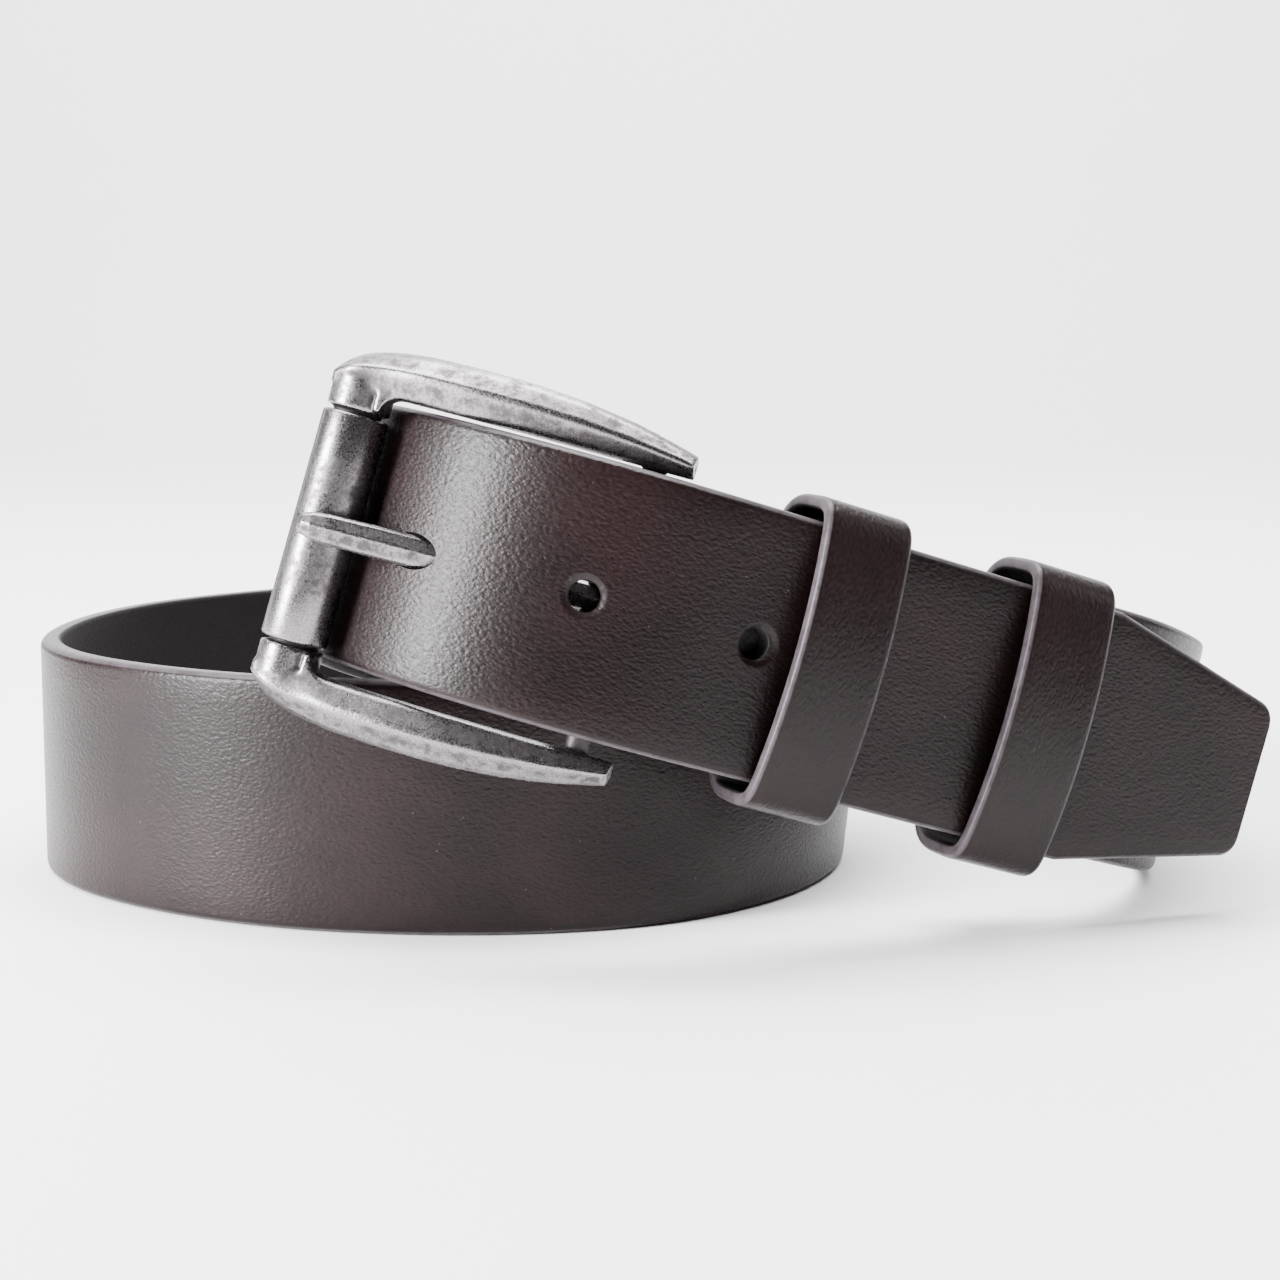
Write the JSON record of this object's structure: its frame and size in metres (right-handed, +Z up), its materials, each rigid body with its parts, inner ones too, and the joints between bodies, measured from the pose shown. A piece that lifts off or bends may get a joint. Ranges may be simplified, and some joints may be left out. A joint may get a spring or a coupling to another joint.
{
  "type": "leather belt with roller buckle",
  "caption": "Buckled leather trouser belt coiled in two turns on its edge, with a roller buckle, a hinged prong and two leather keepers.",
  "frame": {"origin": "bottom centre of the bounding box, on the surface the belt stands on", "axes": "+X along the belt's longest side, from the buckle's roller towards the strap's tip; +Y from the buckle's front to the back of the coil; +Z up, across the strap"},
  "size_m": [0.196, 0.169, 0.0858],
  "materials": {
    "strap_leather": "dark brown pebbled leather, semi-gloss, painted edges",
    "keeper_leather": "dark brown pebbled leather, semi-gloss, painted edges",
    "antique_silver": "antique silver plating with dark patina in the hollows",
    "nickel": "nickel plate"
  },
  "bodies": {
    "belt": {"strap": "strap_leather", "buckle_frame": "antique_silver", "keeper_fixed": "keeper_leather", "keeper_fixed_staples": "nickel", "snap_caps": "nickel", "snap_sockets": "nickel", "snap_springs": "nickel", "snap_studs": "nickel", "snap_posts": "nickel"},
    "roller": {"roller": "antique_silver"},
    "prong": {"prong": "antique_silver"},
    "keeper_free": {"keeper_free": "keeper_leather", "keeper_free_staples": "nickel"}
  },
  "joints": [
    {"name": "roller_spin", "type": "hinge", "parent": "belt", "child": "roller", "pos_m": [-0.04333, -0.0643, 0.06065], "axis": [0.272, 0.1072, 0.9563], "continuous": true},
    {"name": "prong_swing", "type": "hinge", "parent": "belt", "child": "prong", "pos_m": [-0.00156, -0.07354, 0.05075], "axis": [0.272, 0.1072, 0.9563], "range_deg": [0, 2]},
    {"name": "keeper_slide", "type": "slide", "parent": "belt", "child": "keeper_free", "axis": [0.8898, 0.3505, -0.2924], "range_m": [-0.021, 0.003]}
  ]
}
